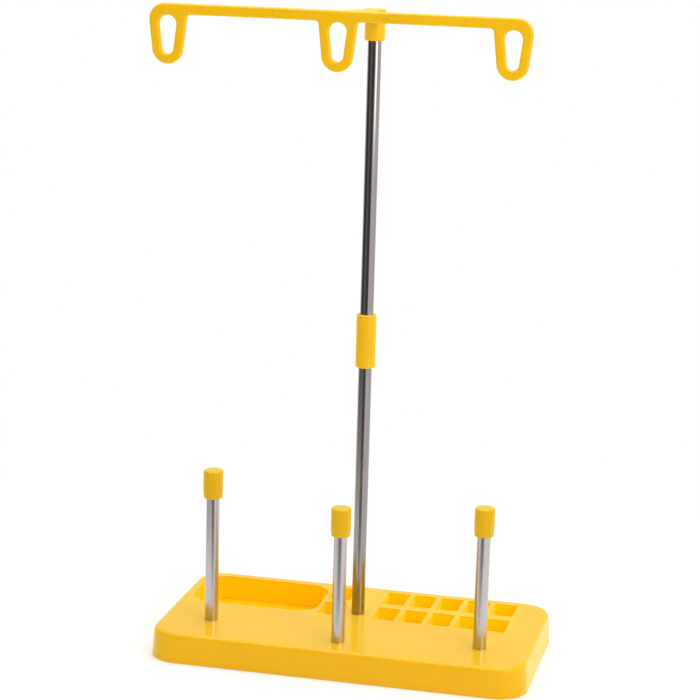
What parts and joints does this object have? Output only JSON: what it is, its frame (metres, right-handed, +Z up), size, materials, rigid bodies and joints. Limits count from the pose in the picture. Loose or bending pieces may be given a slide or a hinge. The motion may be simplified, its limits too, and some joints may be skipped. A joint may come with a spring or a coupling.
{
  "type": "thread rack",
  "caption": "Free-standing thread rack: flat base with a tray and bobbin pockets, capped spool pins, and a jointed mast that carries a bar with closed hanging thread eyes.",
  "frame": {"origin": "on the table, under the middle of the base", "axes": "+X to the rack's right seen from the front, +Y to its back, +Z up along the mast"},
  "size_m": [0.2284, 0.1465, 0.391],
  "materials": {
    "yellow_plastic": "glossy moulded plastic, warm yellow, slightly translucent",
    "steel": "plain drawn steel tube, lightly polished"
  },
  "bodies": {
    "stand": {"base": "yellow_plastic", "lower_mast_tube": "steel", "mast_sleeve": "yellow_plastic"},
    "upper_mast": {"upper_mast_tube": "steel"},
    "guide": {"thread_guide": "yellow_plastic"},
    "left_pin": {"left_pin_tube": "steel", "left_pin_cap": "yellow_plastic"},
    "middle_pin": {"middle_pin_tube": "steel", "middle_pin_cap": "yellow_plastic"},
    "right_pin": {"right_pin_tube": "steel", "right_pin_cap": "yellow_plastic"}
  },
  "joints": [
    {"name": "mast_lift", "type": "slide", "parent": "stand", "child": "upper_mast", "axis": [0, 0, 1], "range_m": [0, 0.0162]},
    {"name": "guide_swivel", "type": "hinge", "parent": "upper_mast", "child": "guide", "pos_m": [0, 0.0091, 0.3681], "axis": [0, 0, 1], "continuous": true},
    {"name": "left_pin_slide", "type": "slide", "parent": "stand", "child": "left_pin", "axis": [0, 0, 1], "range_m": [-0.0057, 0.0103]},
    {"name": "middle_pin_slide", "type": "slide", "parent": "stand", "child": "middle_pin", "axis": [0, 0, 1], "range_m": [0, 0.016]},
    {"name": "right_pin_slide", "type": "slide", "parent": "stand", "child": "right_pin", "axis": [0, 0, 1], "range_m": [-0.0037, 0.0123]}
  ]
}
